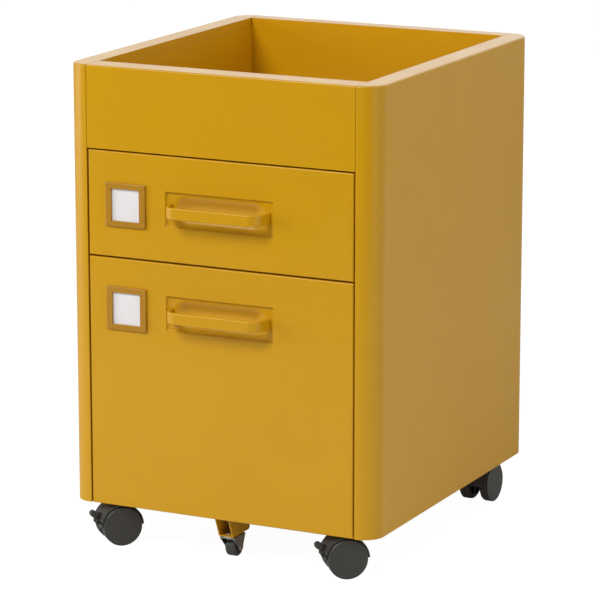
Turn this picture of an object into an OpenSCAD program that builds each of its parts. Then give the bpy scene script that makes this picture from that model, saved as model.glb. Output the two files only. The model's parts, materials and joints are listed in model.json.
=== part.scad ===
// Two-drawer steel desk-side cabinet with an open top tray, on twin-wheel casters.
// All sizes are in millimetres. +X is the cabinet's right side, -Y its front and +Z is up.
// The origin lies on the floor under the middle of the whole object.
// Inside the modules, cabinet coordinates are used: y = 0 is the plane of the drawer fronts.

/* [Body] */
// Width across the two side panels
cabinet_w = 420; // [400:1:460]
// Depth from the drawer fronts to the back panel
cabinet_d = 470; // [460:1:520]
// Height of the steel body, without the casters
body_h = 555; // [540:1:620]
// Thickness of the body's sheet steel
sheet = 1; // [0.8:0.1:1.4]
// Outside radius of the four upright corners
corner_r = 25; // [16:1:26]
// Width of a side panel's front face, from the outside to the drawer opening
post_w = 27.5; // [27:0.5:34]
// How far the front and rear faces of a side panel fold back into the body
post_return = 18; // [12:1:22]
// Outside radius of the folds round the top rim
rim_r = 2; // [1.5:0.1:3]
// Width of the flange under the body that carries the base plate
foot_flange = 12; // [8:1:14]
// Joint between neighbouring body panels
seam = 0.6; // [0.3:0.1:1]
// Thickness of the base plate
base_t = 1.5; // [1.2:0.1:2]
// Height of the base plate's turned-up front and rear edges
base_upturn = 12; // [8:1:16]

/* [Top tray] */
// Height of the fascia in front of the tray
fascia_h = 102.7; // [90:0.1:120]
// Depth of the rim above the fascia
rim_front = 33; // [28:1:40]
// Depth of the rim at the back
rim_back = 25; // [24:1:30]
// Height of the lip that hangs from the rim's inner edge
rim_lip = 20; // [16:1:30]
// Distance from the rim down to the tray's upper edge
tray_drop = 12; // [8:1:14]
// Thickness of the tray's sheet
tray_sheet = 1; // [0.8:0.1:1.4]
// Depth of the fascia's lower fold, which carries the front of the tray
tray_ledge = 45; // [40:1:60]

/* [Drawer fronts] */
// Height of the upper drawer's front
upper_front_h = 131.2; // [125:0.1:160]
// Gap round the drawer fronts
drawer_gap = 2.2; // [1.5:0.1:3]
// Thickness of a folded drawer front
front_t = 18; // [17:0.5:22]
// Outside radius of the folds round a drawer front
front_r = 1.5; // [1.2:0.1:2]
// Thickness of the plate that closes a drawer front behind
liner_t = 0.8; // [0.6:0.1:1.2]

/* [Handles] */
// Width of the handle recess
recess_w = 147; // [130:1:170]
// Height of the handle recess
recess_h = 44; // [42:1:50]
// Depth of the flat floor of the recess
recess_depth = 3; // [2.5:0.1:4]
// How far the recess narrows on each side from the sheet to its floor
recess_slope = 2; // [1:0.1:3]
// Distance of the recess above the centre of the upper front
recess_lift = 0; // [-4:0.5:4]
// Distance from the top edge of the lower front to the centre of its recess
lower_handle_drop = 62.3; // [50:0.1:90]
// Wall of the recess moulding
recess_wall = 1.2; // [1:0.1:1.6]
// Width of the moulding's hidden flange behind the sheet
recess_flange = 4; // [3:0.5:6]
// Depth of the finger dish behind the drawer front's face
dish_depth = 14.5; // [11:0.5:15.5]
// Distance between the ends of the finger dish
dish_w = 118; // [100:1:118]
// Height of the finger dish at its mouth
dish_h = 37; // [34:1:38]
// Radius of the finger dish's round ends
dish_end_r = 14; // [10:1:16]
// Reach of the pull in front of the drawer front
pull_reach = 25; // [22:1:32]
// Width of the pull at its feet
pull_w = 138; // [138:1:139]
// Height of the pull
pull_h = 14.7; // [10:0.1:18]
// Distance from the centre of the recess to the middle of the pull, upwards
pull_lift = 0.4; // [-3:0.1:3]
// Thickness of the pull's bar and legs
pull_t = 4; // [3:0.5:5]
// Outside radius of the pull's corners, seen from above
pull_corner_r = 17; // [12:1:18]
// Angle by which the pull's legs spread outwards
pull_splay = 14; // [8:1:15]
// Radius of the pull's long edges
pull_edge_r = 1.6; // [1:0.1:1.9]

/* [Label holders] */
// Outside width of the holder
label_w = 56; // [50:1:64]
// Outside height of the holder
label_h = 55; // [50:1:60]
// Width of the holder's window
window_w = 39; // [30:0.5:42]
// Height of the holder's window
window_h = 40.5; // [30:0.5:43]
// How far the holder stands out
label_t = 3; // [2:0.1:4]
// Outside edge radius of the holder
label_edge_r = 1.4; // [0.8:0.1:1.8]
// Radius of the holder's outer corners
label_corner_r = 2.5; // [2:0.1:5]
// Distance from the cabinet's middle to the holder's centre
label_x = 128; // [120:1:135]
// Thickness of the label card
card_t = 0.4; // [0.2:0.1:0.8]
// How far the card runs under the frame on each side
card_lap = 3; // [2:0.5:5]

/* [Drawer boxes] */
// Thickness of the boxes' sheet
box_sheet = 1; // [0.8:0.1:1.2]
// Distance from the top edge of the upper front down to its box's upper edge
upper_box_drop = 19.2; // [12:0.1:40]
// Distance from the top edge of the lower front down to its box's upper edge
lower_box_drop = 25.7; // [18:0.1:90]
// Distance from the boxes to the back panel
box_rear_gap = 45.2; // [40:0.1:70]
// Distance from the lower edge of the upper front to its box
upper_box_lift = 12; // [8:1:16]
// Distance from the lower edge of the lower front to its box
lower_box_lift = 24; // [23:1:30]
// Height of the hem round a box's upper edge
box_hem = 8; // [6:1:12]

/* [Slides] */
// Distance from the slides to the back panel
rail_rear_gap = 43; // [38:0.1:60]
// Distance from the drawer fronts' plane to the slides
rail_setback = 26; // [26:1:30]
// Height of the outer member
rail_h = 35; // [34:1:38]
// Thickness of the closed slide
rail_t = 12.7; // [12.4:0.1:14]
// Sheet of the slide members
rail_sheet = 1.2; // [1:0.1:1.3]
// Diameter of the bearing balls
ball_d = 2.8; // [2.4:0.1:2.8]
// Play between a ball and each raceway
ball_play = 0.2; // [0.15:0.05:0.3]
// Thickness of a ball cage
cage_t = 0.7; // [0.5:0.1:0.8]
// Length of a ball cage
cage_l = 180; // [120:1:190]
// Distance between neighbouring balls
ball_pitch = 18; // [12:1:30]
// Height of the upper slides' middle above the box bottom
upper_rail_lift = 30; // [24:1:60]
// Height of the lower slides' middle above the box bottom
lower_rail_lift = 70; // [30:1:160]

/* [Uprights] */
// Width of the channels that carry the slides
upright_w = 50; // [40:1:60]
// Distance from the drawer fronts' plane to the front channels
upright_setback = 30; // [28:1:50]
// Distance from the back panel's outside to the rear channels
upright_rear = 90; // [85:1:120]
// Thickness of the channels' sheet
upright_sheet = 1.2; // [1:0.1:1.5]
// Distance from the edge of the drawer opening in to the back of the slides
rail_inset = 1.5; // [1:0.1:3]

/* [Casters] */
// Wheel diameter
wheel_d = 50; // [44:1:52]
// Width across both wheels
caster_w = 41; // [41:1:48]
// Width of one wheel
wheel_w = 13; // [11:0.5:13]
// Distance from the swivel axis to the axle
caster_trail = 8; // [8:1:13]
// Gap between the wheel and the hood
hood_gap = 1.1; // [0.8:0.1:1.5]
// Thickness of the hood
hood_t = 1.8; // [1.6:0.1:2.6]
// Gap between the hood and the underside of the body
hood_clear = 2.1; // [1.2:0.1:4]
// Distance from a wheel's outer face in to the hood's edge
hood_inset = 2.5; // [2:0.5:5]
// Thickness of the web between the wheels
web_t = 11; // [10:0.5:13]
// Diameter of the axle
axle_d = 6; // [5:0.5:7]
// Diameter of the swivel stem
stem_d = 8; // [7:0.5:8]
// Radial play of turning shafts
shaft_play = 0.05; // [0.02:0.01:0.08]
// Distance from the left side panel's outside to the front left stem
front_left_inset = 58; // [46:1:70]
// Distance from the right side panel's outside to the front right stem
front_right_inset = 46; // [46:1:70]
// Distance from the side panels' outsides to the rear stems
rear_inset = 33; // [30:1:60]
// Distance of the front stems from the drawer fronts' plane
front_stem_y = 30; // [30:1:60]
// Distance from the back panel's outside to the rear stems
rear_stem_gap = 60; // [50:1:80]
// Resting swivel angle of the front left caster
swivel_front_left = -43.6; // [-180:0.1:180]
// Resting swivel angle of the front right caster
swivel_front_right = -51; // [-180:0.1:180]
// Resting swivel angle of the rear left caster
swivel_rear_left = -24; // [-180:0.1:180]
// Resting swivel angle of the rear right caster
swivel_rear_right = -1; // [-180:0.1:180]
// Length of the hub that carries the hood on the stem
stem_hub_l = 20; // [14:1:22]
// Wall of the hub round the stem
stem_hub_wall = 2.8; // [2:0.1:2.9]
// Thickness of the plate under each stem nut
pad_t = 2; // [1.5:0.5:3]
// Side of the square plate under each stem nut
pad_w = 30; // [24:1:32]
// Height of the stem nuts
nut_h = 6.5; // [5:0.5:8]
// Width across the flats of the stem nuts
nut_af = 13; // [13:1:15]

/* [Brakes] */
// Reach of the brake lever from the axle
lever_reach = 39.5; // [38:0.5:42]
// Width of the lever's paddle
lever_w = 8; // [7:0.5:10]
// Thickness of the lever's paddle
lever_t = 8; // [6:0.5:8]
// Slope of the paddle with the brake off
lever_slope = 31; // [28:1:34]
// Distance of the lever's pivot in front of the axle
pivot_reach = 26.5; // [26:0.1:26.8]
// Height of the lever's pivot above the axle
pivot_lift = 5; // [4.5:0.1:5.5]
// Diameter of the lever's pivot
pivot_d = 3; // [2.5:0.5:3.5]
// Length of the lever's inner arm
lever_arm = 20.4; // [19:0.1:20.4]
// Width of the slot in the hood that holds the inner arm
lever_slot = 6; // [5:0.5:6.5]
// Play on each side of the inner arm
lever_play = 0.3; // [0.2:0.05:0.5]
// Diameter of the collar on the axle that the brake grips
collar_d = 10; // [9:0.5:10.5]

/* [Drawer support] */
// Width of the bracket under the lower drawer
bracket_w = 20; // [18:1:24]
// Sheet of the bracket
bracket_sheet = 1.5; // [1.2:0.1:2]
// Height of the bracket's underside above the floor
bracket_z = 29.7; // [29.7:0.1:32]
// Distance of the bracket's lower front edge from the drawer fronts' plane
bracket_front = 15; // [10:1:18]
// Distance of the bracket's rear edge from the drawer fronts' plane
bracket_rear = 60; // [56:1:64]
// How far the bracket's front edge leans forward up to the drawer
bracket_lean = 11; // [4:1:13]
// Radius of the bracket's lower rear corners
bracket_corner_r = 4; // [2:0.5:6]
// Distance of the support caster's swivel axis from the drawer fronts' plane
kingpin_y = 24; // [22:1:30]
// Diameter of the support caster's kingpin
kingpin_d = 6; // [5:0.5:7]
// Diameter of the support wheel
support_d = 25; // [20:1:25]
// Width of the support wheel
support_w = 14; // [10:1:15]
// Distance from the kingpin to the support wheel's axle
support_trail = 13; // [11:1:15]
// Width across the support caster's fork
fork_w = 20; // [18:1:22]
// Sheet of the fork
fork_sheet = 1.2; // [1:0.1:1.5]
// Diameter of the support wheel's axle
support_axle_d = 4; // [3:0.5:5]

/* [Screws] */
// Head diameter of the pan-head screws
screw_head_d = 7; // [6:0.5:8]
// Head height of the pan-head screws
screw_head_h = 2.2; // [1.6:0.1:2.6]
// Shank diameter of the screws
screw_d = 3.5; // [3:0.5:4.5]
// Length of a screw under its head
screw_l = 6; // [5:0.5:8]

/* [Hidden] */

$fn = 64;
paint = "#d39a1e";
zinc = "#b9bcc0";
black_plastic = "#3a3935";

// Heights above the floor
wheel_r = wheel_d / 2;
hood_r_in = wheel_r + hood_gap;
hood_r = hood_r_in + hood_t;
body_z = wheel_r + hood_r + hood_clear;
cabinet_h = body_z + body_h;
fascia_z = cabinet_h - fascia_h;
upper_front_z = fascia_z - drawer_gap - upper_front_h;
lower_front_h = upper_front_z - drawer_gap - body_z;
base_z = body_z + sheet;
tray_z = fascia_z + sheet;

// Per drawer: 0 is the upper one, 1 the lower one
UPPER = 0;
LOWER = 1;
front_z = [upper_front_z, body_z];
front_h = [upper_front_h, lower_front_h];
box_z = [upper_front_z + upper_box_lift, body_z + lower_box_lift];
box_h = [upper_front_h - upper_box_lift - upper_box_drop,
         lower_front_h - lower_box_lift - lower_box_drop];
rail_z = [box_z[UPPER] + upper_rail_lift, box_z[LOWER] + lower_rail_lift];
handle_z = [upper_front_z + upper_front_h / 2 + recess_lift,
            body_z + lower_front_h - lower_handle_drop];

// Widths and depths
opening_w = cabinet_w - 2 * post_w;
fascia_w = opening_w - 2 * seam;
front_w = opening_w - 2 * drawer_gap;
rail_x = opening_w / 2 - rail_inset;
box_w = 2 * (rail_x - rail_t);
box_y = front_t + liner_t;
box_d = cabinet_d - sheet - box_rear_gap - box_y;
rail_l = cabinet_d - sheet - rail_rear_gap - rail_setback;
front_y = (pull_reach - cabinet_d) / 2;
base_setback = box_y + 2;
behind_front = box_y + 0.2;
slip = 0.02;
fold_play = 0.5;
card_play = 0.2;

// Slide sections, measured from the upright (u) and from the slide's middle (v)
cage_gap = 0.5;
cage_u = rail_sheet + cage_gap;
middle_u = cage_u + cage_t + cage_gap;
inner_cage_u = middle_u + rail_sheet + cage_gap;
inner_u = inner_cage_u + cage_t + cage_gap;
outer_reach = rail_t - 3.2;
middle_reach = rail_t - 1.7;
outer_ball_u = (middle_u + outer_reach) / 2;
inner_ball_u = (inner_u + middle_reach) / 2;
outer_ball_v = rail_h / 2 - rail_sheet - ball_play - ball_d / 2;
middle_v = outer_ball_v - ball_d / 2 - ball_play;
inner_ball_v = middle_v - rail_sheet - ball_play - ball_d / 2;
inner_v = inner_ball_v - ball_d / 2 - ball_play;
screw_along = [upright_setback + upright_w / 2 - rail_setback,
               cabinet_d - upright_rear - upright_w / 2 - rail_setback];
screw_margin = 22;
screw_tip = 1.5;
pull_screw_d = 3;
pull_screw_l = 8;
pull_boss_r = 3;
pull_boss_h = 9;
pull_boss_inset = 4.8;

// Casters, in the order front left, front right, rear left, rear right
stem_x = [front_left_inset - cabinet_w / 2, cabinet_w / 2 - front_right_inset,
          rear_inset - cabinet_w / 2, cabinet_w / 2 - rear_inset];
stem_y = [front_stem_y, front_stem_y, cabinet_d - rear_stem_gap, cabinet_d - rear_stem_gap];
swivel = [swivel_front_left, swivel_front_right, swivel_rear_left, swivel_rear_right];
hood_top = wheel_r + hood_r;
stem_foot = hood_top - stem_hub_l + 3;
stem_foot_play = 0.3;
collar_play = 0.2;
stem_tip = 1.5;
pad_d = 15;
skirt_trail = 0.5;
skirt_lead = 0.5;
web_eye = 11;
wheel_face = 3;
wheel_hub = 7;
wheel_rim = 5;
wheel_rib = 1.5;
wheel_chamfer = 0.8;
wheel_shoulder = 4;
wheel_play = 0.3;
axle_end = 0.3;
pivot_eye = 4.6;
lever_hub = 3.6;
lever_rise = 5;
lever_free = 23;
nose_r = 2;
slot_end = 10;
slot_top = 15;

// Drawer support
bracket_play = 5;
bracket_inset = 8;
bracket_top = body_z + base_t + 12;
hanger_z = bracket_z + 11;
side_rivet_lift = 17.5;
side_rivet_front = 4.5;
side_rivet_rear = 14;
hanger_rivet_front = 14;
hanger_rivet_rear = 18;
side_rivet_z = bracket_z + side_rivet_lift;
side_rivets = [bracket_front + side_rivet_front, bracket_rear - side_rivet_rear];
hanger_rivets = [bracket_front + hanger_rivet_front, bracket_rear - hanger_rivet_rear];
rivet_d = 3;
rivet_head_d = 8;
rivet_head_h = 1.6;
support_r = support_d / 2;
support_edge_r = 2.5;
support_head_h = 1;
fork_z = bracket_z - 1.7;
fork_play = 0.2;
fork_front = 7;
fork_rear = support_trail + 11;
fork_eye = 5.5;
fork_taper = 4.6;
kingpin_head_h = 1.8;
kingpin_burr = 1.2;
kingpin_cup_d = 16;

// Moves a shape from cabinet coordinates to the part's own frame.
module in_cabinet() translate([0, front_y, 0]) children();

// Repeats a shape on both sides of the cabinet's middle plane.
module both_sides() {
    children();
    mirror([1, 0, 0]) children();
}

// Outline of width w and depth d with rounded corners at its front edge.
module front_rounded(w, d, r) {
    translate([-w / 2, r]) square([w, d - r]);
    translate([r - w / 2, 0]) square([w - 2 * r, r]);
    for (s = [-1, 1]) translate([s * (w / 2 - r), r]) circle(r);
}

// Block with all four of its front edges rounded; its front face lies in y = 0.
module rounded_block(w, h, d, r) {
    intersection() {
        linear_extrude(h) front_rounded(w, d, r);
        translate([w / 2, 0, h / 2]) rotate([0, -90, 0]) linear_extrude(w) front_rounded(h, d, r);
    }
}

// Rectangle with four round corners, centred on the origin.
module rounded_rect(w, h, r) {
    square([w - 2 * r, h], center = true);
    square([w, h - 2 * r], center = true);
    for (x = [-1, 1], y = [-1, 1]) translate([x * (w / 2 - r), y * (h / 2 - r)]) circle(r);
}

// Section of a body wall: outer sheet, rounded rim, hanging lip and foot flange.
// x runs inwards from the outer face, y upwards from the wall's lower edge.
module wall_section(h, rim, foot, lip = 0) {
    square([sheet, h - rim_r]);
    square([foot, sheet]);
    translate([rim_r, h - sheet]) square([rim - rim_r, sheet]);
    if (lip > 0) translate([rim - sheet, h - lip]) square([sheet, lip]);
    translate([rim_r, h - rim_r]) intersection() {
        translate([-rim_r, 0]) square(rim_r);
        difference() {
            circle(rim_r);
            circle(rim_r - sheet);
        }
    }
}

// A wall section swept along a straight line of length l: outer face on x = 0, running along +Y.
module straight_wall(l, h, rim, foot, lip = 0) {
    translate([0, l, 0]) rotate([90, 0, 0]) linear_extrude(l) wall_section(h, rim, foot, lip);
}

// A wall section turned round a quarter circle; its centre is the origin, its arc lies in -X, -Y.
module corner_wall(h, rim, foot) {
    rotate([0, 0, 180]) rotate_extrude(angle = 90)
        translate([rim, 0]) mirror([1, 0]) wall_section(h, rim, foot);
}

// The end of a side panel: round corner, front strip and the fold back into the body.
module panel_end() {
    translate([corner_r, corner_r, 0]) corner_wall(body_h, corner_r, foot_flange);
    translate([corner_r, 0, 0]) mirror([1, -1, 0])
        straight_wall(post_w - corner_r, body_h, corner_r, foot_flange);
    translate([post_w - sheet, 0, 0]) cube([sheet, post_return, body_h - sheet]);
}

// Left side panel: one folded sheet from the front post round to the rear one.
module side_panel() {
    color(paint) translate([-cabinet_w / 2, 0, body_z]) {
        panel_end();
        translate([0, cabinet_d, 0]) mirror([0, 1, 0]) panel_end();
        translate([0, corner_r, 0])
            straight_wall(cabinet_d - 2 * corner_r, body_h, post_w, foot_flange, rim_lip);
    }
}

module side_panel_left() in_cabinet() side_panel();

module side_panel_right() in_cabinet() mirror([1, 0, 0]) side_panel();

// Back panel between the rear posts.
module back_panel() {
    in_cabinet() color(paint) translate([-fascia_w / 2, cabinet_d, body_z])
        mirror([0, 1, 0]) mirror([1, -1, 0])
            straight_wall(fascia_w, body_h, rim_back, foot_flange, rim_lip);
}

// Fascia in front of the tray, with the rim above it and the ledge under the tray.
module front_fascia() {
    in_cabinet() color(paint) translate([-fascia_w / 2, 0, fascia_z]) mirror([1, -1, 0])
        straight_wall(fascia_w, fascia_h, rim_front, tray_ledge, rim_lip);
}

// Open tray that hangs inside the rim.
module compartment_tray() {
    tray_w = opening_w;
    tray_y = rim_front;
    tray_d = cabinet_d - rim_back - rim_front;
    tray_h = body_h + body_z - tray_drop - tray_z;
    in_cabinet() color(paint) translate([-tray_w / 2, tray_y, tray_z]) difference() {
        cube([tray_w, tray_d, tray_h]);
        translate([tray_sheet, tray_sheet, tray_sheet])
            cube([tray_w - 2 * tray_sheet, tray_d - 2 * tray_sheet, tray_h]);
    }
}

// Base plate on the foot flanges, notched for the posts' folds and for the drawer support.
module base_plate() {
    notch = sheet + 2 * fold_play;
    in_cabinet() color(paint) difference() {
        union() {
            translate([0, 0, base_z]) linear_extrude(base_t) intersection() {
                translate([0, cabinet_d / 2])
                    rounded_rect(cabinet_w - 2 * sheet, cabinet_d - 2 * sheet, corner_r - sheet);
                translate([-cabinet_w / 2, base_setback]) square([cabinet_w, cabinet_d]);
            }
            for (y = [base_setback, cabinet_d - foot_flange - base_t])
                translate([-opening_w / 2 + post_return, y, base_z])
                    cube([opening_w - 2 * post_return, base_t, base_t + base_upturn]);
        }
        for (s = [-1, 1], y = [0, cabinet_d - post_return - fold_play])
            translate([s * (opening_w + sheet) / 2 - notch / 2, y, 0])
                cube([notch, post_return + fold_play, cabinet_h]);
        translate([-bracket_w / 2 - bracket_play, 0, 0])
            cube([bracket_w + 2 * bracket_play, bracket_rear + bracket_play, cabinet_h]);
        for (k = [0:3]) translate([stem_x[k], stem_y[k], 0])
            cylinder(h = cabinet_h, r = stem_d / 2 + slip);
    }
}

// One pair of channels from the base plate up to the tray, open towards the side panels.
module uprights(y) {
    z = base_z + base_t;
    reach = cabinet_w / 2 - sheet - rail_x;
    in_cabinet() color(zinc) both_sides() translate([rail_x, y, z]) difference() {
        cube([reach, upright_w, fascia_z - z]);
        translate([upright_sheet, upright_sheet, -1])
            cube([reach, upright_w - 2 * upright_sheet, fascia_z]);
        for (k = [UPPER, LOWER]) translate([0, upright_w / 2, rail_z[k] - z]) rotate([0, 90, 0])
            cylinder(h = 3 * upright_sheet, r = screw_d / 2 + slip, center = true);
    }
}

module front_uprights() uprights(upright_setback);

module rear_uprights() uprights(cabinet_d - upright_rear - upright_w);

// Puts rail shapes on both sides: x runs from the upright towards the drawer,
// y is upwards and z runs backwards along the rail.
module along_rails(k) {
    in_cabinet() both_sides() translate([rail_x, rail_setback, rail_z[k]]) rotate([90, 0, 180])
        children();
}

// Section of a slide member: web from u0, lips up to u1, outer half height v.
module channel(u0, u1, v) {
    difference() {
        translate([min(u0, u1), -v]) square([abs(u1 - u0), 2 * v]);
        translate([min(u0, u1) + (u1 > u0 ? rail_sheet : -1), rail_sheet - v])
            square([abs(u1 - u0) - rail_sheet + 1, 2 * (v - rail_sheet)]);
    }
}

module outer_rails(k) {
    along_rails(k) color(zinc) difference() {
        linear_extrude(rail_l) channel(0, outer_reach, rail_h / 2);
        for (z = screw_along) translate([0, 0, z]) countersunk(slip);
    }
}

module middle_rails(k) {
    along_rails(k) color(zinc) linear_extrude(rail_l) channel(middle_u, middle_reach, middle_v);
}

module inner_rails(k) {
    along_rails(k) color(zinc) difference() {
        linear_extrude(rail_l) channel(rail_t, inner_u, inner_v);
        for (z = screw_along) translate([rail_t, 0, z]) rotate([0, 90, 0])
            cylinder(h = 3 * rail_sheet, r = screw_d / 2 + slip, center = true);
    }
}

// Ball cage: a strip above and below, joined by a web, with the balls in its holes.
module cages(k, u, ball_u, v) {
    run = cage_l - ball_pitch;
    strip = ball_u + ball_d - u;
    along_rails(k) translate([0, 0, (rail_l - cage_l) / 2]) {
        color(zinc) difference() {
            linear_extrude(cage_l) difference() {
                translate([u, -v - cage_t / 2]) square([strip, 2 * v + cage_t]);
                translate([u + cage_t, cage_t / 2 - v]) square([strip, 2 * v - cage_t]);
            }
            for (z = [0:ball_pitch:run]) translate([ball_u, 0, ball_pitch / 2 + z])
                rotate([90, 0, 0])
                    cylinder(h = 3 * v, r = ball_d / 2 + ball_play / 2, center = true);
        }
        color("silver") for (z = [0:ball_pitch:run], s = [-1, 1])
            translate([ball_u, s * v, ball_pitch / 2 + z]) sphere(d = ball_d, $fn = 24);
    }
}

module upper_outer_rails() outer_rails(UPPER);
module upper_middle_rails() middle_rails(UPPER);
module upper_inner_rails() inner_rails(UPPER);
module upper_outer_cages() cages(UPPER, cage_u, outer_ball_u, outer_ball_v);
module upper_inner_cages() cages(UPPER, inner_cage_u, inner_ball_u, inner_ball_v);
module lower_outer_rails() outer_rails(LOWER);
module lower_middle_rails() middle_rails(LOWER);
module lower_inner_rails() inner_rails(LOWER);
module lower_outer_cages() cages(LOWER, cage_u, outer_ball_u, outer_ball_v);
module lower_inner_cages() cages(LOWER, inner_cage_u, inner_ball_u, inner_ball_v);

// Countersunk screw along x, its head flush with the inside of the outer member.
module countersunk(grow = 0) {
    rotate([0, 90, 0]) {
        cylinder(h = rail_sheet, r1 = screw_d / 2 + grow, r2 = screw_head_d / 2 + grow);
        translate([0, 0, -screw_l]) cylinder(h = screw_l, r = screw_d / 2 + grow);
    }
}

module rail_screws() {
    color(zinc) for (k = [UPPER, LOWER]) along_rails(k)
        for (z = screw_along) translate([0, 0, z]) countersunk();
}

// Pan-head screw: the head's underside is z = 0, the head lies on the +z side.
module pan_screw(l = screw_l, d = screw_d) {
    translate([0, 0, -l]) cylinder(h = l, r = d / 2);
    intersection() {
        cylinder(h = screw_head_h, r = screw_head_d / 2);
        translate([0, 0, screw_head_h - screw_head_d]) sphere(r = screw_head_d);
    }
}

// Folded drawer box with a hem round its upper edge.
module drawer_box(k) {
    w = box_w;
    in_cabinet() color(paint) translate([-w / 2, box_y, box_z[k]]) difference() {
        cube([w, box_d, box_h[k]]);
        translate([box_sheet, box_sheet, box_sheet])
            cube([w - 2 * box_sheet, box_d - 2 * box_sheet, box_h[k] - box_sheet - box_hem]);
        translate([2 * box_sheet, 2 * box_sheet, box_sheet])
            cube([w - 4 * box_sheet, box_d - 4 * box_sheet, box_h[k]]);
        translate([w / 2, 0, 0]) front_screw_places(k) rotate([90, 0, 0])
            cylinder(h = 3 * box_sheet, r = screw_d / 2 + slip, center = true);
        for (z = screw_along) translate([w / 2, rail_setback - box_y + z, rail_z[k] - box_z[k]])
            rotate([0, 90, 0]) cylinder(h = 2 * w, r = screw_d / 2 + slip, center = true);
        if (k == LOWER) for (y = hanger_rivets) translate([w / 2, y - box_y, 0])
            cylinder(h = 3 * box_sheet, r = rivet_d / 2 + slip, center = true);
    }
}

// Places of the screws between a box and its front, from the box's lower front edge.
module front_screw_places(k) {
    for (s = [-1, 1], z = [screw_margin, box_h[k] - box_hem - screw_margin])
        translate([s * (box_w / 2 - screw_margin), 0, z]) children();
}

// Folded pan of a drawer front, with the opening for the handle recess.
module drawer_front(k) {
    in_cabinet() color(paint) translate([0, 0, front_z[k]]) difference() {
        rounded_block(front_w, front_h[k], front_t, front_r);
        translate([0, sheet, sheet])
            rounded_block(front_w - 2 * sheet, front_h[k] - 2 * sheet, front_t, front_r - sheet);
        translate([-recess_w / 2, -1, handle_z[k] - front_z[k] - recess_h / 2])
            cube([recess_w, front_t, recess_h]);
    }
}

// Flat plate that closes the back of a drawer front.
module front_liner(k) {
    in_cabinet() color(paint) difference() {
        translate([-front_w / 2 + sheet, front_t, front_z[k] + sheet])
            cube([front_w - 2 * sheet, liner_t, front_h[k] - 2 * sheet]);
        translate([0, front_t, box_z[k]]) front_screw_places(k) rotate([90, 0, 0])
            cylinder(h = 4 * liner_t, r = screw_d / 2 + slip, center = true);
    }
}

// Round-ended form of the finger dish about an axis in front of the drawer.
module dish_form(grow) {
    y_axis = (dish_depth + recess_depth
              - pow(dish_h / 2, 2) / (dish_depth - recess_depth)) / 2;
    r = dish_depth - y_axis + grow;
    w = dish_w + 2 * grow;
    translate([0, y_axis, 0]) rotate([0, 90, 0]) rotate_extrude() intersection() {
        rounded_half(r, w, dish_end_r + grow);
        translate([0, -w / 2]) square([r, w]);
    }
}

// Section through the recess: x is the depth, y the height or the width.
module pocket_section(w) {
    polygon([
        [0, -w / 2], [sheet, -w / 2], [recess_depth, recess_slope - w / 2],
        [recess_depth, w / 2 - recess_slope], [sheet, w / 2], [0, w / 2]
    ]);
}

// Hollow of the recess with its four sloping sides.
module recess_pocket() {
    intersection() {
        across(recess_w) pocket_section(recess_h);
        translate([0, 0, -recess_h / 2]) linear_extrude(recess_h)
            mirror([1, -1]) pocket_section(recess_w);
    }
}

// Moulded recess behind the opening of a drawer front, with the finger dish.
module handle_recess(k) {
    w = recess_w + 2 * recess_flange;
    h = recess_h + 2 * recess_flange;
    in_cabinet() color(paint) translate([0, 0, handle_z[k]]) difference() {
        union() {
            translate([-w / 2, sheet, -h / 2]) cube([w, recess_depth + recess_wall - sheet, h]);
            intersection() {
                dish_form(recess_wall);
                translate([-w / 2, recess_depth, -h / 2]) cube([w, front_t, h]);
            }
        }
        recess_pocket();
        dish_form(0);
        pull_screw_places() rotate([90, 0, 0])
            cylinder(h = 4 * recess_wall, r = pull_screw_d / 2 + slip, center = true);
    }
}

// Bow pull: one rounded section along the front bar, round both corners and down the
// spread legs to the floor of the recess, with a boss for the screw inside each foot.
module pull(k) {
    leg = (pull_reach + recess_depth - pull_corner_r * (1 - sin(pull_splay))) / cos(pull_splay);
    half = pull_w / 2 - pull_corner_r * cos(pull_splay) - leg * sin(pull_splay);
    in_cabinet() color(paint) translate([0, 0, handle_z[k]]) difference() {
        union() {
            translate([0, pull_corner_r - pull_reach, pull_lift]) both_sides()
                translate([half, 0, 0]) pull_side(half, leg);
            pull_screw_places() rotate([90, 0, 0]) cylinder(h = pull_boss_h, r = pull_boss_r);
        }
        translate([-pull_w, recess_depth, -pull_h]) cube([2 * pull_w, pull_reach, 2 * pull_h]);
        pull_screw_places() rotate([90, 0, 0])
            cylinder(h = pull_screw_l, r = pull_screw_d / 2 + slip);
    }
}

// Half of the bar, running past the middle, with its corner and the leg behind it.
// The corner's centre is the origin.
module pull_side(half, leg) {
    run = half + pull_t;
    translate([-run, 0, 0]) rotate([90, 0, 90]) linear_extrude(run)
        translate([-pull_corner_r, 0]) pull_section();
    rotate([0, 0, -90]) rotate_extrude(angle = 90 - pull_splay)
        translate([pull_corner_r, 0]) mirror([1, 0]) pull_section();
    rotate([0, 0, -pull_splay]) translate([0, leg + pull_t, 0]) rotate([90, 0, 0])
        linear_extrude(leg + pull_t) translate([pull_corner_r, 0]) mirror([1, 0]) pull_section();
}

// Section of the pull: x runs inwards from the bar's outer face.
module pull_section() {
    translate([pull_t / 2, 0]) rounded_rect(pull_t, pull_h, pull_edge_r);
}

// Places of the pull's screws on the floor of the recess.
module pull_screw_places() {
    for (s = [-1, 1]) translate([s * (pull_w / 2 - pull_boss_inset), recess_depth, pull_lift])
        children();
}

module label_frame(k) {
    in_cabinet() color(paint) translate([-label_x, -label_t, handle_z[k]]) difference() {
        intersection() {
            translate([0, 0, -label_h / 2]) rounded_block(label_w, label_h, label_t, label_edge_r);
            translate([0, label_t, 0]) rotate([90, 0, 0]) linear_extrude(2 * label_t)
                rounded_rect(label_w, label_h, label_corner_r);
        }
        translate([-window_w / 2, -1, -window_h / 2]) cube([window_w, 2 * label_t, window_h]);
        translate([-window_w / 2 - card_lap, label_t - card_t, -window_h / 2 - card_lap])
            cube([window_w + 2 * card_lap, label_t, window_h + 2 * card_lap]);
    }
}

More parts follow.
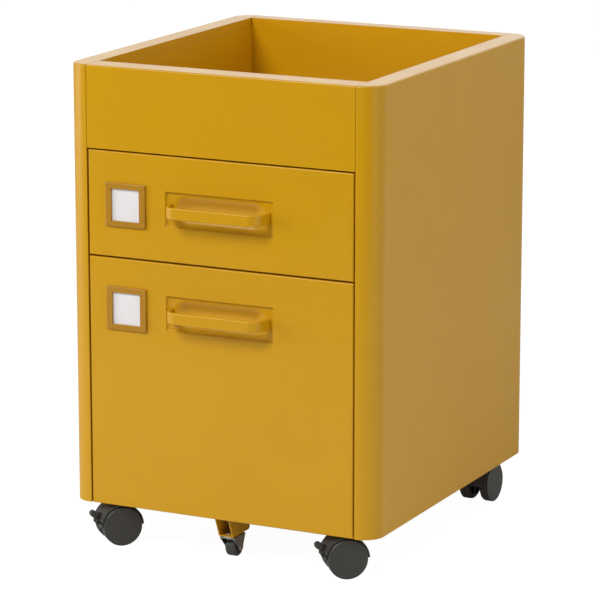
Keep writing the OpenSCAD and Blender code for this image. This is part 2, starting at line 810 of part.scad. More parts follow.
module label_card(k) {
    w = window_w + 2 * card_lap - 2 * card_play;
    h = window_h + 2 * card_lap - 2 * card_play;
    in_cabinet() color("white") translate([-label_x - w / 2, -card_t, handle_z[k] - h / 2])
        cube([w, card_t, h]);
}

// Screws of one drawer: front to box, slides to box, and the two that hold the pull.
module drawer_screws(k) {
    color(zinc) {
        in_cabinet() translate([0, box_y + box_sheet, box_z[k]]) front_screw_places(k)
            rotate([-90, 0, 0]) pan_screw();
        along_rails(k) for (z = screw_along) translate([rail_t - rail_sheet, 0, z])
            rotate([0, -90, 0]) pan_screw(rail_sheet + box_sheet + screw_tip);
        in_cabinet() translate([0, recess_wall, handle_z[k]]) pull_screw_places()
            rotate([-90, 0, 0]) pan_screw(pull_screw_l, pull_screw_d);
    }
}

module upper_drawer_box() drawer_box(UPPER);
module upper_drawer_front() drawer_front(UPPER);
module upper_front_liner() front_liner(UPPER);
module upper_handle_recess() handle_recess(UPPER);
module upper_pull() pull(UPPER);
module upper_label_frame() label_frame(UPPER);
module upper_label_card() label_card(UPPER);
module upper_drawer_screws() drawer_screws(UPPER);
module lower_drawer_box() drawer_box(LOWER);
module lower_drawer_front() drawer_front(LOWER);
module lower_front_liner() front_liner(LOWER);
module lower_handle_recess() handle_recess(LOWER);
module lower_pull() pull(LOWER);
module lower_label_frame() label_frame(LOWER);
module lower_label_card() label_card(LOWER);
module lower_drawer_screws() drawer_screws(LOWER);

// A shape drawn in the y-z plane, extruded across the middle plane to width w.
module across(w) {
    translate([-w / 2, 0, 0]) rotate([90, 0, 90]) linear_extrude(w) children();
}

// Hanger between the lower box and the support bracket.
module support_hanger() {
    leg_x = bracket_w / 2 - bracket_sheet;
    in_cabinet() color(paint) difference() {
        across(2 * leg_x) polygon([
            [bracket_front, hanger_z], [bracket_rear - bracket_inset, hanger_z],
            [bracket_rear - bracket_inset, box_z[LOWER]], [behind_front, box_z[LOWER]],
            [behind_front, body_z], [bracket_front, body_z]
        ]);
        translate([bracket_sheet - leg_x, 0, 0])
            cube([2 * (leg_x - bracket_sheet), cabinet_d, box_z[LOWER] - bracket_sheet]);
        side_rivet_places() rotate([0, 90, 0])
            cylinder(h = bracket_w, r = rivet_d / 2 + slip, center = true);
        for (y = hanger_rivets) translate([0, y, 0])
            cylinder(h = cabinet_h, r = rivet_d / 2 + slip);
    }
}

// Tapered channel that carries the support caster, open at the front, the back and the top.
module support_bracket() {
    wall = bracket_sheet;
    in_cabinet() color(paint) difference() {
        across(bracket_w) {
            polygon([
                [bracket_front, bracket_z], [bracket_rear - bracket_corner_r, bracket_z],
                [bracket_rear, bracket_z + bracket_corner_r],
                [bracket_rear, bracket_top], [behind_front, bracket_top],
                [behind_front, body_z], [bracket_front - bracket_lean, body_z]
            ]);
            translate([bracket_rear - bracket_corner_r, bracket_z + bracket_corner_r])
                circle(bracket_corner_r);
        }
        translate([wall - bracket_w / 2, 0, bracket_z + wall])
            cube([bracket_w - 2 * wall, cabinet_d, cabinet_h]);
        side_rivet_places() rotate([0, 90, 0])
            cylinder(h = 2 * bracket_w, r = rivet_d / 2 + slip, center = true);
        translate([0, kingpin_y, 0]) cylinder(h = cabinet_h, r = kingpin_d / 2 + slip);
    }
}

module side_rivet_places() {
    for (y = side_rivets) translate([0, y, side_rivet_z]) children();
}

// Rivet along z: shank from -l to 0 and a low round head above.
module rivet(l) {
    translate([0, 0, -l]) cylinder(h = l, r = rivet_d / 2);
    intersection() {
        cylinder(h = rivet_head_h, r = rivet_head_d / 2);
        translate([0, 0, rivet_head_h - rivet_head_d]) sphere(r = rivet_head_d);
    }
}

module support_rivets() {
    in_cabinet() color(paint) {
        both_sides() side_rivet_places() translate([bracket_w / 2, 0, 0]) rotate([0, 90, 0])
            rivet(2 * bracket_sheet);
        for (y = hanger_rivets) translate([0, y, box_z[LOWER] + box_sheet])
            rivet(bracket_sheet + box_sheet);
    }
}

// Kingpin with its head on the bracket, the bearing cup under it and the burr below the fork.
module support_kingpin() {
    burr_z = fork_z - fork_sheet - fork_play - kingpin_burr;
    in_cabinet() color(zinc) translate([0, kingpin_y, 0]) {
        translate([0, 0, burr_z]) cylinder(h = bracket_z + bracket_sheet - burr_z, r = kingpin_d / 2);
        translate([0, 0, burr_z]) cylinder(h = kingpin_burr, r = kingpin_d / 2 + 1.5);
        translate([0, 0, fork_z + fork_play])
            cylinder(h = bracket_z - fork_z - fork_play, r = kingpin_cup_d / 2);
        translate([0, 0, bracket_z + bracket_sheet])
            cylinder(h = kingpin_head_h, r = kingpin_d / 2 + 2);
    }
}

// Fork of the support caster: crown plate and two cheeks that taper to the axle.
module support_fork() {
    inner = fork_w - 2 * fork_sheet;
    in_cabinet() color(zinc) translate([0, kingpin_y, 0]) difference() {
        union() {
            across(fork_w) polygon([
                [-fork_front, fork_z], [fork_rear, fork_z],
                [fork_rear, fork_z - fork_sheet],
                [support_trail + fork_taper, support_r - fork_sheet],
                [support_trail - fork_taper, support_r - fork_sheet],
                [-fork_front, fork_z - fork_sheet]
            ]);
            at_support_axle() cylinder(h = fork_w, r = fork_eye, center = true);
        }
        translate([-inner / 2, -cabinet_d / 2, 0]) cube([inner, cabinet_d, fork_z - fork_sheet]);
        cylinder(h = cabinet_h, r = kingpin_d / 2 + shaft_play);
        at_support_axle() cylinder(h = 2 * fork_w, r = support_axle_d / 2 + slip, center = true);
    }
}

// Puts a shape drawn along z on the support wheel's axle, seen from the kingpin.
module at_support_axle() translate([0, support_trail, support_r]) rotate([0, 90, 0]) children();

module support_wheel() {
    in_cabinet() color(black_plastic) translate([0, kingpin_y, 0]) at_support_axle() difference() {
        rotate_extrude() rounded_half(support_r, support_w, support_edge_r);
        cylinder(h = 2 * support_w, r = support_axle_d / 2 + shaft_play, center = true);
    }
}

// Right half of a rectangle centred on the origin, with round outer corners.
module rounded_half(r, w, edge) {
    translate([0, -w / 2]) square([r - edge, w]);
    translate([0, edge - w / 2]) square([r, w - 2 * edge]);
    for (s = [-1, 1]) translate([r - edge, s * (w / 2 - edge)]) circle(edge);
}

module support_axle() {
    in_cabinet() color(zinc) translate([0, kingpin_y, 0]) at_support_axle() {
        cylinder(h = fork_w, r = support_axle_d / 2, center = true);
        for (s = [-1, 1]) translate([0, 0, s * (fork_w + support_head_h) / 2])
            cylinder(h = support_head_h, r = support_axle_d / 2 + 1.2, center = true);
    }
}

module at_stems() {
    for (k = [0:3]) in_cabinet() translate([stem_x[k], stem_y[k], 0]) children();
}

module caster_pads() {
    color(zinc) at_stems() translate([0, 0, base_z + base_t]) difference() {
        translate([-pad_w / 2, -pad_d / 2, 0]) cube([pad_w, pad_d, pad_t]);
        cylinder(h = 3 * pad_t, r = stem_d / 2 + slip, center = true);
    }
}

module caster_nuts() {
    color(zinc) at_stems() translate([0, 0, base_z + base_t + pad_t]) difference() {
        cylinder(h = nut_h, r = nut_af / sqrt(3), $fn = 6);
        cylinder(h = 3 * nut_h, r = stem_d / 2 + slip, center = true);
    }
}

// Stems with the collar that bears on the hoods.
module caster_stems() {
    top = base_z + base_t + pad_t + nut_h + stem_tip;
    color(zinc) at_stems() {
        translate([0, 0, stem_foot]) cylinder(h = top - stem_foot, r = stem_d / 2);
        translate([0, 0, hood_top + collar_play])
            cylinder(h = base_z - hood_top - collar_play, r = stem_d / 2 + stem_hub_wall);
    }
}

// Puts a caster drawn about its swivel axis, trailing towards -Y, at corner k.
module at_caster(k) {
    in_cabinet() translate([stem_x[k], stem_y[k], 0]) rotate([0, 0, swivel[k]]) children();
}

// Moves a caster's y-z drawing so that the axle is its origin.
module at_axle() translate([0, -caster_trail, wheel_r]) children();

// Hood: arch over both wheels, web between them, hub for the stem and, with a brake,
// the slot for the lever and the ears of its pivot.
module hood(k, brake = false) {
    hood_w = caster_w - 2 * hood_inset;
    at_caster(k) color(black_plastic) difference() {
        union() {
            at_axle() across(hood_w) intersection() {
                difference() {
                    circle(hood_r);
                    circle(hood_r_in);
                }
                hood_side();
            }
            at_axle() across(web_t) {
                intersection() {
                    circle(hood_r - hood_t / 2);
                    hood_side();
                }
                circle(web_eye);
                if (brake) at_pivot() circle(pivot_eye);
            }
            translate([0, 0, hood_top - stem_hub_l])
                cylinder(h = stem_hub_l, r = stem_d / 2 + stem_hub_wall);
        }
        translate([0, 0, stem_foot - stem_foot_play])
            cylinder(h = cabinet_h, r = stem_d / 2 + shaft_play);
        at_axle() rotate([0, 90, 0])
            cylinder(h = caster_w, r = axle_d / 2 + shaft_play, center = true);
        if (brake) at_axle() {
            across(lever_slot) translate([-hood_r - pivot_eye, -web_eye - 1]) {
                square([hood_r + pivot_eye + collar_d / 2 + 1, web_eye + 1.5 + collar_d / 2]);
                square([hood_r + pivot_eye - slot_end, web_eye + 1 + slot_top]);
            }
            at_pivot_axis() cylinder(h = caster_w, r = pivot_d / 2 + shaft_play, center = true);
        }
    }
}

// Upper half of the caster's side view, a little lower on the trailing side.
module hood_side() {
    translate([-hood_r - 1, -skirt_trail]) square([hood_r + 1, hood_r + skirt_trail + 1]);
    translate([-1, skirt_lead]) square([hood_r + 2, hood_r]);
}

module at_pivot() translate([-pivot_reach, pivot_lift]) children();

module at_pivot_axis() translate([0, -pivot_reach, pivot_lift]) rotate([0, 90, 0]) children();

// Pair of wheels, open towards the web and plain outside.
module wheels(k) {
    rib_from = wheel_hub - 1;
    rib_to = wheel_r - wheel_rim + 0.5;
    at_caster(k) color(black_plastic) at_axle() for (s = [-1, 1])
        mirror([s < 0 ? 1 : 0, 0, 0]) translate([caster_w / 2, 0, 0]) rotate([0, -90, 0])
            difference() {
                union() {
                    rotate_extrude() wheel_section();
                    for (a = [0:60:300]) rotate(a) translate([rib_from, -wheel_rib / 2, 0])
                        cube([rib_to - rib_from, wheel_rib, wheel_w - wheel_rib]);
                }
                translate([0, 0, wheel_face]) cylinder(h = wheel_w, r = axle_d / 2 + slip);
            }
}

// Half section of a wheel: x is the radius, y runs from the outer face to the inner one.
module wheel_section() {
    inside = wheel_r - wheel_rim;
    square([wheel_r - wheel_chamfer, wheel_face]);
    square([wheel_hub, (caster_w - web_t) / 2 - wheel_play]);
    polygon([
        [inside, 0], [wheel_r - wheel_chamfer, 0],
        [wheel_r, wheel_chamfer], [inside, wheel_chamfer]
    ]);
    translate([inside, wheel_chamfer])
        square([wheel_rim, wheel_w - wheel_chamfer - wheel_shoulder]);
    translate([inside, 0]) square([wheel_rim - wheel_shoulder, wheel_w]);
    translate([wheel_r - wheel_shoulder, wheel_w - wheel_shoulder]) intersection() {
        circle(wheel_shoulder);
        square(wheel_shoulder);
    }
}

module axle(k, brake = false) {
    at_caster(k) color(zinc) at_axle() rotate([0, 90, 0]) {
        cylinder(h = caster_w - 2 * (wheel_face + axle_end), r = axle_d / 2, center = true);
        if (brake) cylinder(h = lever_slot - 2 * lever_play, r = collar_d / 2, center = true);
    }
}

// Brake lever: paddle outside the hood, trunnions in its ears and an inner arm whose nose
// wedges against the collar on the axle.
module brake(k) {
    arm_w = lever_slot - 2 * lever_play;
    arm_angle = -atan2(pivot_lift, pivot_reach) - lever_free;
    neck = pivot_eye + lever_play;
    tip = (lever_reach - pivot_reach) / cos(lever_slope) - lever_t / 2;
    at_caster(k) color(black_plastic) at_axle() {
        across(arm_w) at_pivot() {
            circle(lever_hub);
            rotate(arm_angle) {
                translate([0, -nose_r]) square([lever_arm, 2 * nose_r]);
                translate([lever_arm, 0]) circle(nose_r);
            }
            rotate(180 - lever_slope) translate([0, -lever_rise - lever_t / 2])
                square([neck + 1, lever_t]);
        }
        across(lever_w) at_pivot() rotate(180 - lever_slope) {
            translate([neck, -lever_rise - lever_t / 2]) square([tip - neck, lever_t]);
            translate([tip, -lever_rise]) circle(lever_t / 2);
        }
        at_pivot_axis() cylinder(h = web_t - 2 * slip, r = pivot_d / 2, center = true);
    }
}

module front_left_hood() hood(0, true);
module front_left_wheels() wheels(0);
module front_left_axle() axle(0, true);
module front_left_brake() brake(0);
module front_right_hood() hood(1, true);
module front_right_wheels() wheels(1);
module front_right_axle() axle(1, true);
module front_right_brake() brake(1);
module rear_left_hood() hood(2);
module rear_left_wheels() wheels(2);
module rear_left_axle() axle(2);
module rear_right_hood() hood(3);
module rear_right_wheels() wheels(3);
module rear_right_axle() axle(3);

side_panel_left();
side_panel_right();
back_panel();
front_fascia();
compartment_tray();
base_plate();
front_uprights();
rear_uprights();
upper_outer_rails();
lower_outer_rails();
rail_screws();
caster_pads();
caster_stems();
caster_nuts();
upper_drawer_box();
upper_drawer_front();
upper_front_liner();
upper_handle_recess();
upper_pull();
upper_label_frame();
upper_label_card();
upper_inner_rails();
upper_drawer_screws();
upper_middle_rails();
upper_outer_cages();
upper_inner_cages();
lower_drawer_box();
lower_drawer_front();
lower_front_liner();
lower_handle_recess();
lower_pull();
lower_label_frame();
lower_label_card();
lower_inner_rails();
lower_drawer_screws();
lower_middle_rails();
lower_outer_cages();
lower_inner_cages();
support_hanger();
support_bracket();
support_rivets();
support_kingpin();
support_fork();
support_wheel();
support_axle();
front_left_hood();
front_left_wheels();
front_left_axle();
front_left_brake();
front_right_hood();
front_right_wheels();
front_right_axle();
front_right_brake();
rear_left_hood();
rear_left_wheels();
rear_left_axle();
rear_right_hood();
rear_right_wheels();
rear_right_axle();
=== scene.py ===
"""Looks of a two-drawer steel desk-side cabinet on twin-wheel casters, built round its CAD frame."""

import json
import logging
import math
from dataclasses import dataclass, field
from enum import Enum
from typing import Any

import bmesh
import bpy
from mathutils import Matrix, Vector

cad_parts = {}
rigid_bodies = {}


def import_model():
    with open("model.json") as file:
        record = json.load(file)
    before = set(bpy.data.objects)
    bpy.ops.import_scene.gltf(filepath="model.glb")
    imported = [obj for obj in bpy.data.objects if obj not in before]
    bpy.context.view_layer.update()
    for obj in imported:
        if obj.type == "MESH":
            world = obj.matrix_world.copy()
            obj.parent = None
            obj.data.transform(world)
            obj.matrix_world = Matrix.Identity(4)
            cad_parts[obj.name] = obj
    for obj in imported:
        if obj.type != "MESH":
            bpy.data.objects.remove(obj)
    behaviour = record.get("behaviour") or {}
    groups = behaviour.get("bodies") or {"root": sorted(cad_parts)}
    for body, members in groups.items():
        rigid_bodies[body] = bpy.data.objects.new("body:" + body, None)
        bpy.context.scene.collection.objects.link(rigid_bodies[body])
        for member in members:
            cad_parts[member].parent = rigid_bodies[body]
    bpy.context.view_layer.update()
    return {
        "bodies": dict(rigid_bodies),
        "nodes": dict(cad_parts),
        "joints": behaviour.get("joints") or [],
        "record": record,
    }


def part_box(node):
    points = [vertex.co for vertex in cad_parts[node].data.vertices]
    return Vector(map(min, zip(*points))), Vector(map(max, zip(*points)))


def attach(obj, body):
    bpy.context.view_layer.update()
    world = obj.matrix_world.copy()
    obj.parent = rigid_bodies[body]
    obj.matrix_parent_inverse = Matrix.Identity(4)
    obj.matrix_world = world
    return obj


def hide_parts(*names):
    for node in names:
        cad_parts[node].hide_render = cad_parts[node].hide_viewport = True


MM = 0.001
# Places of the sockets that mix two colours; their names repeat for each kind of value.
MIX_SHARE, MIX_FIRST, MIX_SECOND, MIX_RESULT = 0, 6, 7, 2

log = logging.getLogger("cabinet")

Frame = dict[str, Any]


class Slot(Enum):
    """Material slots of the part's record."""

    PAINT = "body_paint"
    ZINC = "zinc_steel"
    NYLON = "black_nylon"
    CARD = "label_card"
    OCHRE = "ochre_plastic"


class Drawer(Enum):
    """The two drawers; the value starts the names of their nodes."""

    UPPER = "upper"
    LOWER = "lower"


class Corner(Enum):
    """The four casters; the value starts the names of their nodes."""

    FRONT_LEFT = "front_left"
    FRONT_RIGHT = "front_right"
    REAR_LEFT = "rear_left"
    REAR_RIGHT = "rear_right"

    @property
    def braked(self) -> bool:
        """True for the casters with a brake lever."""
        return self in (Corner.FRONT_LEFT, Corner.FRONT_RIGHT)


def linear(colour: str) -> tuple[float, float, float, float]:
    """Turns an sRGB hex colour into linear light.

    Args:
        colour: The colour as "#RRGGBB".

    Returns:
        Red, green, blue and alpha, linear, from 0 to 1.
    """
    channels = [int(colour[i : i + 2], 16) / 255 for i in (1, 3, 5)]
    light = [c / 12.92 if c <= 0.04045 else ((c + 0.055) / 1.055) ** 2.4 for c in channels]
    return (*light, 1.0)


def add_node(
    tree: bpy.types.NodeTree,
    kind: str,
    inputs: dict[str | int, Any] | None = None,
    **settings: Any,
) -> bpy.types.Node:
    """Adds one node with its settings, values and links.

    Args:
        tree: The tree that gets the node.
        kind: The node's type name.
        inputs: Values or output sockets for its inputs, by name or place.
        **settings: Properties of the node itself.

    Returns:
        The new node.
    """
    node = tree.nodes.new(kind)
    for name, value in settings.items():
        setattr(node, name, value)
    for key, value in (inputs or {}).items():
        if isinstance(value, bpy.types.NodeSocket):
            tree.links.new(value, node.inputs[key])
        else:
            node.inputs[key].default_value = value
    return node


def new_material(name: str) -> tuple[bpy.types.Material, bpy.types.NodeTree]:
    """Makes an empty node material.

    Args:
        name: The material's name.

    Returns:
        The material and its cleared node tree.
    """
    material = bpy.data.materials.new(name)
    material.use_nodes = True
    material.node_tree.nodes.clear()
    return material, material.node_tree


def per_metre(millimetres: float) -> float:
    """Noise scale at which one blotch is about that many millimetres wide."""
    return 1 / (millimetres * MM)


@dataclass(frozen=True)
class PowderCoat:
    """Golden-yellow polyester powder coat, baked on steel sheet.

    It gives a dense, even colour with a satin sheen. Close up, the film has the faint orange peel
    of powder that has flowed, and its colour and gloss drift a little over a hand's breadth.
    """

    name: str = "golden_yellow_powder_coat"
    colour: str = "#CF9A00"
    thin_colour: str = "#CA9500"
    ior: float = 1.5
    roughness: float = 0.33
    roughness_drift: float = 0.05
    drift_mm: float = 90.0
    # Real orange peel is 1 to 3 mm wide; this is its coarse end, so that it shows.
    peel_mm: float = 2.6
    peel_depth_mm: float = 0.012
    # Powder grain is about 0.1 mm; it is drawn coarser so that it shows close up.
    grain_mm: float = 0.5
    grain_depth_mm: float = 0.003

    def build(self) -> bpy.types.Material:
        """Makes the material.

        Returns:
            The powder coat on Object coordinates.
        """
        material, tree = new_material(self.name)
        place = add_node(tree, "ShaderNodeTexCoord").outputs["Object"]
        drift = add_node(
            tree,
            "ShaderNodeTexNoise",
            {"Vector": place, "Scale": per_metre(self.drift_mm), "Detail": 2.0},
        )
        colour = add_node(
            tree,
            "ShaderNodeMix",
            {
                MIX_SHARE: drift.outputs["Fac"],
                MIX_FIRST: linear(self.colour),
                MIX_SECOND: linear(self.thin_colour),
            },
            data_type="RGBA",
        )
        gloss = add_node(
            tree,
            "ShaderNodeMapRange",
            {
                "Value": drift.outputs["Fac"],
                "To Min": self.roughness - self.roughness_drift,
                "To Max": self.roughness + self.roughness_drift,
            },
        )
        peel = add_node(
            tree,
            "ShaderNodeTexNoise",
            {"Vector": place, "Scale": per_metre(self.peel_mm), "Detail": 1.0},
        )
        grain = add_node(
            tree,
            "ShaderNodeTexNoise",
            {"Vector": place, "Scale": per_metre(self.grain_mm), "Detail": 2.0},
        )
        coarse = add_node(
            tree,
            "ShaderNodeBump",
            {"Height": peel.outputs["Fac"], "Strength": 1.0, "Distance": self.peel_depth_mm * MM},
        )
        fine = add_node(
            tree,
            "ShaderNodeBump",
            {
                "Height": grain.outputs["Fac"],
                "Strength": 1.0,
                "Distance": self.grain_depth_mm * MM,
                "Normal": coarse.outputs["Normal"],
            },
        )
        shader = add_node(
            tree,
            "ShaderNodeBsdfPrincipled",
            {
                "Base Color": colour.outputs[MIX_RESULT],
                "Roughness": gloss.outputs["Result"],
                "Normal": fine.outputs["Normal"],
                "IOR": self.ior,
            },
        )
        add_node(tree, "ShaderNodeOutputMaterial", {"Surface": shader.outputs["BSDF"]})
        return material


@dataclass(frozen=True)
class ZincPlate:
    """Bright zinc electroplate, passivated blue, on stamped and turned steel.

    It gives a cool grey metal with soft highlights, faint bluish and straw clouds and fine
    rolling marks.
    """

    name: str = "blue_passivated_zinc_plate"
    colour: str = "#C4C8CC"
    cloud_colour: str = "#B9BBB4"
    roughness: float = 0.3
    roughness_drift: float = 0.08
    cloud_mm: float = 14.0
    # Rolling marks are a few hundredths of a millimetre; they are drawn as coarse as they show.
    mark_mm: float = 0.35
    mark_depth_mm: float = 0.004

    def build(self) -> bpy.types.Material:
        """Makes the material.

        Returns:
            The zinc plate on Object coordinates.
        """
        material, tree = new_material(self.name)
        place = add_node(tree, "ShaderNodeTexCoord").outputs["Object"]
        cloud = add_node(
            tree,
            "ShaderNodeTexNoise",
            {"Vector": place, "Scale": per_metre(self.cloud_mm), "Detail": 3.0},
        )
        colour = add_node(
            tree,
            "ShaderNodeMix",
            {
                MIX_SHARE: cloud.outputs["Fac"],
                MIX_FIRST: linear(self.colour),
                MIX_SECOND: linear(self.cloud_colour),
            },
            data_type="RGBA",
        )
        gloss = add_node(
            tree,
            "ShaderNodeMapRange",
            {
                "Value": cloud.outputs["Fac"],
                "To Min": self.roughness - self.roughness_drift,
                "To Max": self.roughness + self.roughness_drift,
            },
        )
        mark = add_node(
            tree,
            "ShaderNodeTexNoise",
            {"Vector": place, "Scale": per_metre(self.mark_mm), "Detail": 1.0},
        )
        bump = add_node(
            tree,
            "ShaderNodeBump",
            {"Height": mark.outputs["Fac"], "Strength": 1.0, "Distance": self.mark_depth_mm * MM},
        )
        shader = add_node(
            tree,
            "ShaderNodeBsdfPrincipled",
            {
                "Base Color": colour.outputs[MIX_RESULT],
                "Metallic": 1.0,
                "Roughness": gloss.outputs["Result"],
                "Normal": bump.outputs["Normal"],
            },
        )
        add_node(tree, "ShaderNodeOutputMaterial", {"Surface": shader.outputs["BSDF"]})
        return material


@dataclass(frozen=True)
class MouldedNylon:
    """Black polyamide, injection moulded in a spark-eroded mould.

    It gives a warm, nearly black plastic with a soft sheen and a fine pebbled grain.
    """

    name: str = "black_moulded_nylon"
    colour: str = "#343330"
    worn_colour: str = "#3C3B37"
    ior: float = 1.53
    roughness: float = 0.46
    roughness_drift: float = 0.06
    drift_mm: float = 18.0
    # The mould's texture is about 0.2 mm; it is drawn coarser so that it shows.
    pebble_mm: float = 0.6
    pebble_depth_mm: float = 0.012

    def build(self) -> bpy.types.Material:
        """Makes the material.

        Returns:
            The nylon on Object coordinates.
        """
        material, tree = new_material(self.name)
        place = add_node(tree, "ShaderNodeTexCoord").outputs["Object"]
        drift = add_node(
            tree,
            "ShaderNodeTexNoise",
            {"Vector": place, "Scale": per_metre(self.drift_mm), "Detail": 3.0},
        )
        colour = add_node(
            tree,
            "ShaderNodeMix",
            {
                MIX_SHARE: drift.outputs["Fac"],
                MIX_FIRST: linear(self.colour),
                MIX_SECOND: linear(self.worn_colour),
            },
            data_type="RGBA",
        )
        gloss = add_node(
            tree,
            "ShaderNodeMapRange",
            {
                "Value": drift.outputs["Fac"],
                "To Min": self.roughness - self.roughness_drift,
                "To Max": self.roughness + self.roughness_drift,
            },
        )
        pebble = add_node(
            tree,
            "ShaderNodeTexVoronoi",
            {"Vector": place, "Scale": per_metre(self.pebble_mm)},
            feature="SMOOTH_F1",
        )
        bump = add_node(
            tree,
            "ShaderNodeBump",
            {
                "Height": pebble.outputs["Distance"],
                "Strength": 1.0,
                "Distance": self.pebble_depth_mm * MM,
            },
        )
        shader = add_node(
            tree,
            "ShaderNodeBsdfPrincipled",
            {
                "Base Color": colour.outputs[MIX_RESULT],
                "Roughness": gloss.outputs["Result"],
                "Normal": bump.outputs["Normal"],
                "IOR": self.ior,
            },
        )
        add_node(tree, "ShaderNodeOutputMaterial", {"Surface": shader.outputs["BSDF"]})
        return material


@dataclass(frozen=True)
class CardStock:
    """White index card, uncoated and calendered.

    It gives a matt, slightly warm white with paper fibres that only show close up.
    """

    name: str = "white_index_card"
    colour: str = "#E9E7E8"
    fibre_colour: str = "#E2E0DF"
    ior: float = 1.45
    roughness: float = 0.75
    fibre_mm: float = 1.2
    fibre_depth_mm: float = 0.01
    fibre_stretch: float = 4.0

    def build(self) -> bpy.types.Material:
        """Makes the material.

        Returns:
            The card on Object coordinates.
        """
        material, tree = new_material(self.name)
        place = add_node(tree, "ShaderNodeTexCoord").outputs["Object"]
        along = add_node(
            tree,
            "ShaderNodeMapping",
            {"Vector": place, "Scale": (1.0, 1.0, self.fibre_stretch)},
        )
        fibre = add_node(
            tree,
            "ShaderNodeTexNoise",
            {"Vector": along.outputs["Vector"], "Scale": per_metre(self.fibre_mm), "Detail": 4.0},
        )
        colour = add_node(
            tree,
            "ShaderNodeMix",
            {
                MIX_SHARE: fibre.outputs["Fac"],
                MIX_FIRST: linear(self.colour),
                MIX_SECOND: linear(self.fibre_colour),
            },
            data_type="RGBA",
        )
        bump = add_node(
            tree,
            "ShaderNodeBump",
            {"Height": fibre.outputs["Fac"], "Strength": 1.0, "Distance": self.fibre_depth_mm * MM},
        )
        shader = add_node(
            tree,
            "ShaderNodeBsdfPrincipled",
            {
                "Base Color": colour.outputs[MIX_RESULT],
                "Roughness": self.roughness,
                "Normal": bump.outputs["Normal"],
                "IOR": self.ior,
            },
        )
        add_node(tree, "ShaderNodeOutputMaterial", {"Surface": shader.outputs["BSDF"]})
        return material


@dataclass(frozen=True)
class MouldedOchre:
    """Ochre ABS, injection moulded, in a colour a little darker than the paint's.

    It gives an even colour with a soft sheen, broken by the fine texture of the mould.
    """

    name: str = "ochre_moulded_abs"
    colour: str = "#AD7A00"
    ior: float = 1.53
    roughness: float = 0.42
    # The mould's texture is about 0.2 mm; it is drawn coarser so that it shows.
    pebble_mm: float = 0.6
    pebble_depth_mm: float = 0.002

    def build(self) -> bpy.types.Material:
        """Makes the material.

        Returns:
            The plastic on Object coordinates.
        """
        material, tree = new_material(self.name)
        place = add_node(tree, "ShaderNodeTexCoord").outputs["Object"]
        pebble = add_node(
            tree,
            "ShaderNodeTexVoronoi",
            {"Vector": place, "Scale": per_metre(self.pebble_mm)},
            feature="SMOOTH_F1",
        )
        bump = add_node(
            tree,
            "ShaderNodeBump",
            {
                "Height": pebble.outputs["Distance"],
                "Strength": 1.0,
                "Distance": self.pebble_depth_mm * MM,
            },
        )
        shader = add_node(
            tree,
            "ShaderNodeBsdfPrincipled",
            {
                "Base Color": linear(self.colour),
                "Roughness": self.roughness,
                "Normal": bump.outputs["Normal"],
                "IOR": self.ior,
            },
        )
        add_node(tree, "ShaderNodeOutputMaterial", {"Surface": shader.outputs["BSDF"]})
        return material


@dataclass
class Finishes:
    """The built materials by slot."""

    materials: dict[Slot, bpy.types.Material] = field(default_factory=dict)

    def build(self) -> None:
        """Makes the material of every slot."""
        for slot, finish in {
            Slot.PAINT: PowderCoat(),
            Slot.ZINC: ZincPlate(),
            Slot.NYLON: MouldedNylon(),
            Slot.CARD: CardStock(),
            Slot.OCHRE: MouldedOchre(),
        }.items():
            self.materials[slot] = finish.build()

    def dress(self, piece: bpy.types.Object, slot: Slot) -> None:
        """Gives a piece the material of a slot.

        Args:
            piece: The object to dress.
            slot: The record's slot that it takes its finish from.
        """
        piece.data.materials.clear()
        piece.data.materials.append(self.materials[slot])
        log.info("%s: %s", piece.name, self.materials[slot].name)


@dataclass(frozen=True)
class Screw:
    """One screw: where its shank meets its head, the way its head faces, and its shank's length."""

    place: Vector
    way: Vector
    length: float


